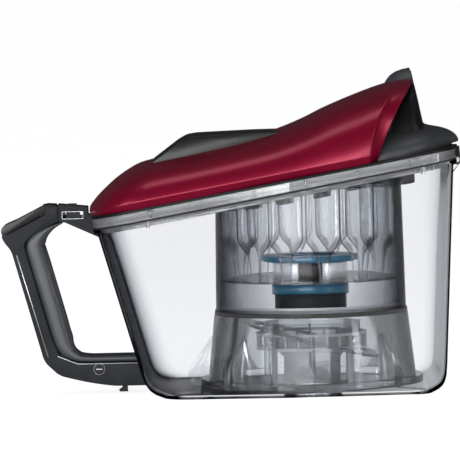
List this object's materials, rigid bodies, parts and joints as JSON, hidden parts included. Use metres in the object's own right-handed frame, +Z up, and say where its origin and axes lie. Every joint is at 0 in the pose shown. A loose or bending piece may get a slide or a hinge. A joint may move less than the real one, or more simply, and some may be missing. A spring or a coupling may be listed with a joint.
{
  "type": "cyclone vacuum dust bin",
  "caption": "Clear wedge-shaped dust bin with a carrying handle, a hinged lid that holds a multi-cyclone unit, an inlet bore in its floor and a rear air outlet.",
  "frame": {"origin": "on the resting plane, under the vertical axis of the cyclone, at the mouth of the inlet bore", "axes": "+X to the rear, where the lid's hinge is; -X to the handle; +Y across the bin; +Z up"},
  "size_m": [0.3449, 0.191, 0.2386],
  "materials": {
    "clear_tub": "clear polycarbonate with a faint smoke tint, polished",
    "clear_frame": "clear polycarbonate, polished, with moulded ribs",
    "clear_cone": "clear polycarbonate, thin",
    "smoke_clear": "lightly smoked clear plastic, polished",
    "crimson_gloss": "deep crimson metallic under a clear gloss coat",
    "charcoal_satin": "charcoal metallic, satin",
    "gloss_black": "black, high gloss",
    "slate_plastic": "dark slate moulded plastic, satin",
    "grip_plastic": "slate grey moulded plastic, satin",
    "black_plastic": "black moulded plastic",
    "blue_plastic": "teal blue, gloss",
    "silver_barrel": "silver metallised sleeve",
    "black_rubber": "matt black elastomer",
    "steel": "plain zinc-plated steel"
  },
  "bodies": {
    "tub": {"bin_tub": "clear_tub", "rim_gasket": "black_rubber", "collector_ring": "smoke_clear", "collector_seal": "black_rubber", "inlet_funnel": "smoke_clear", "vane_ring": "smoke_clear", "dust_baffle": "smoke_clear", "hinge_pin": "steel", "handle_shell": "slate_plastic", "grip_liner": "grip_plastic", "latch_housing": "smoke_clear", "handle_screws": "steel", "lever_pin": "steel", "trigger_pin": "steel", "trigger_spring": "steel", "latch_spring": "steel"},
    "lid": {"lid_frame": "clear_frame", "lid_catch": "clear_frame", "lid_base": "smoke_clear", "lid_chassis": "black_plastic", "lid_shell": "crimson_gloss", "centre_panel": "gloss_black", "rear_dome": "charcoal_satin", "outlet_collar": "charcoal_satin", "outlet_seal": "black_rubber", "outlet_grid": "black_plastic", "lid_hinge_arms": "black_plastic", "lid_screws": "steel", "wedge_collar": "smoke_clear", "cyclone_drum": "smoke_clear", "cyclone_top": "smoke_clear", "cone_body": "clear_cone", "tip_plate": "black_plastic", "upper_disc": "blue_plastic", "core_barrel": "silver_barrel", "core_band": "blue_plastic", "core_base": "black_plastic", "bottom_plate": "smoke_clear"},
    "trigger_lever": {"trigger": "gloss_black"},
    "rod": {"pull_rod": "black_plastic"},
    "hook_lever": {"lock_lever": "black_plastic"},
    "latch": {"latch_slider": "black_plastic"}
  },
  "joints": [
    {"name": "lid_hinge", "type": "hinge", "parent": "tub", "child": "lid", "pos_m": [0.1102, 0, 0.17], "axis": [0, 1, 0], "range_deg": [0, 92]},
    {"name": "trigger_press", "type": "hinge", "parent": "tub", "child": "trigger_lever", "pos_m": [-0.1915, 0, 0.1376], "axis": [0, -1, 0], "range_deg": [0, 6], "stiffness_Nm_per_rad": 0.6, "springref_deg": -2.86, "deforming": ["trigger_spring"]},
    {"name": "rod_slide", "type": "slide", "parent": "tub", "child": "rod", "axis": [0.2646, 0, -0.9644], "range_m": [0, 0.0031]},
    {"name": "lever_swing", "type": "hinge", "parent": "tub", "child": "hook_lever", "pos_m": [-0.1595, 0, 0.0184], "axis": [0, -1, 0], "range_deg": [0, 8]},
    {"name": "latch_slide", "type": "slide", "parent": "tub", "child": "latch", "axis": [1, 0, 0], "range_m": [-0.0034, 0.0033], "stiffness_N_per_m": 200, "deforming": ["latch_spring"]}
  ],
  "couplings": [
    {"joint": "rod_slide", "follows": "trigger_press", "m_per_rad": 0.0275},
    {"joint": "lever_swing", "follows": "trigger_press", "ratio": 1.23}
  ]
}
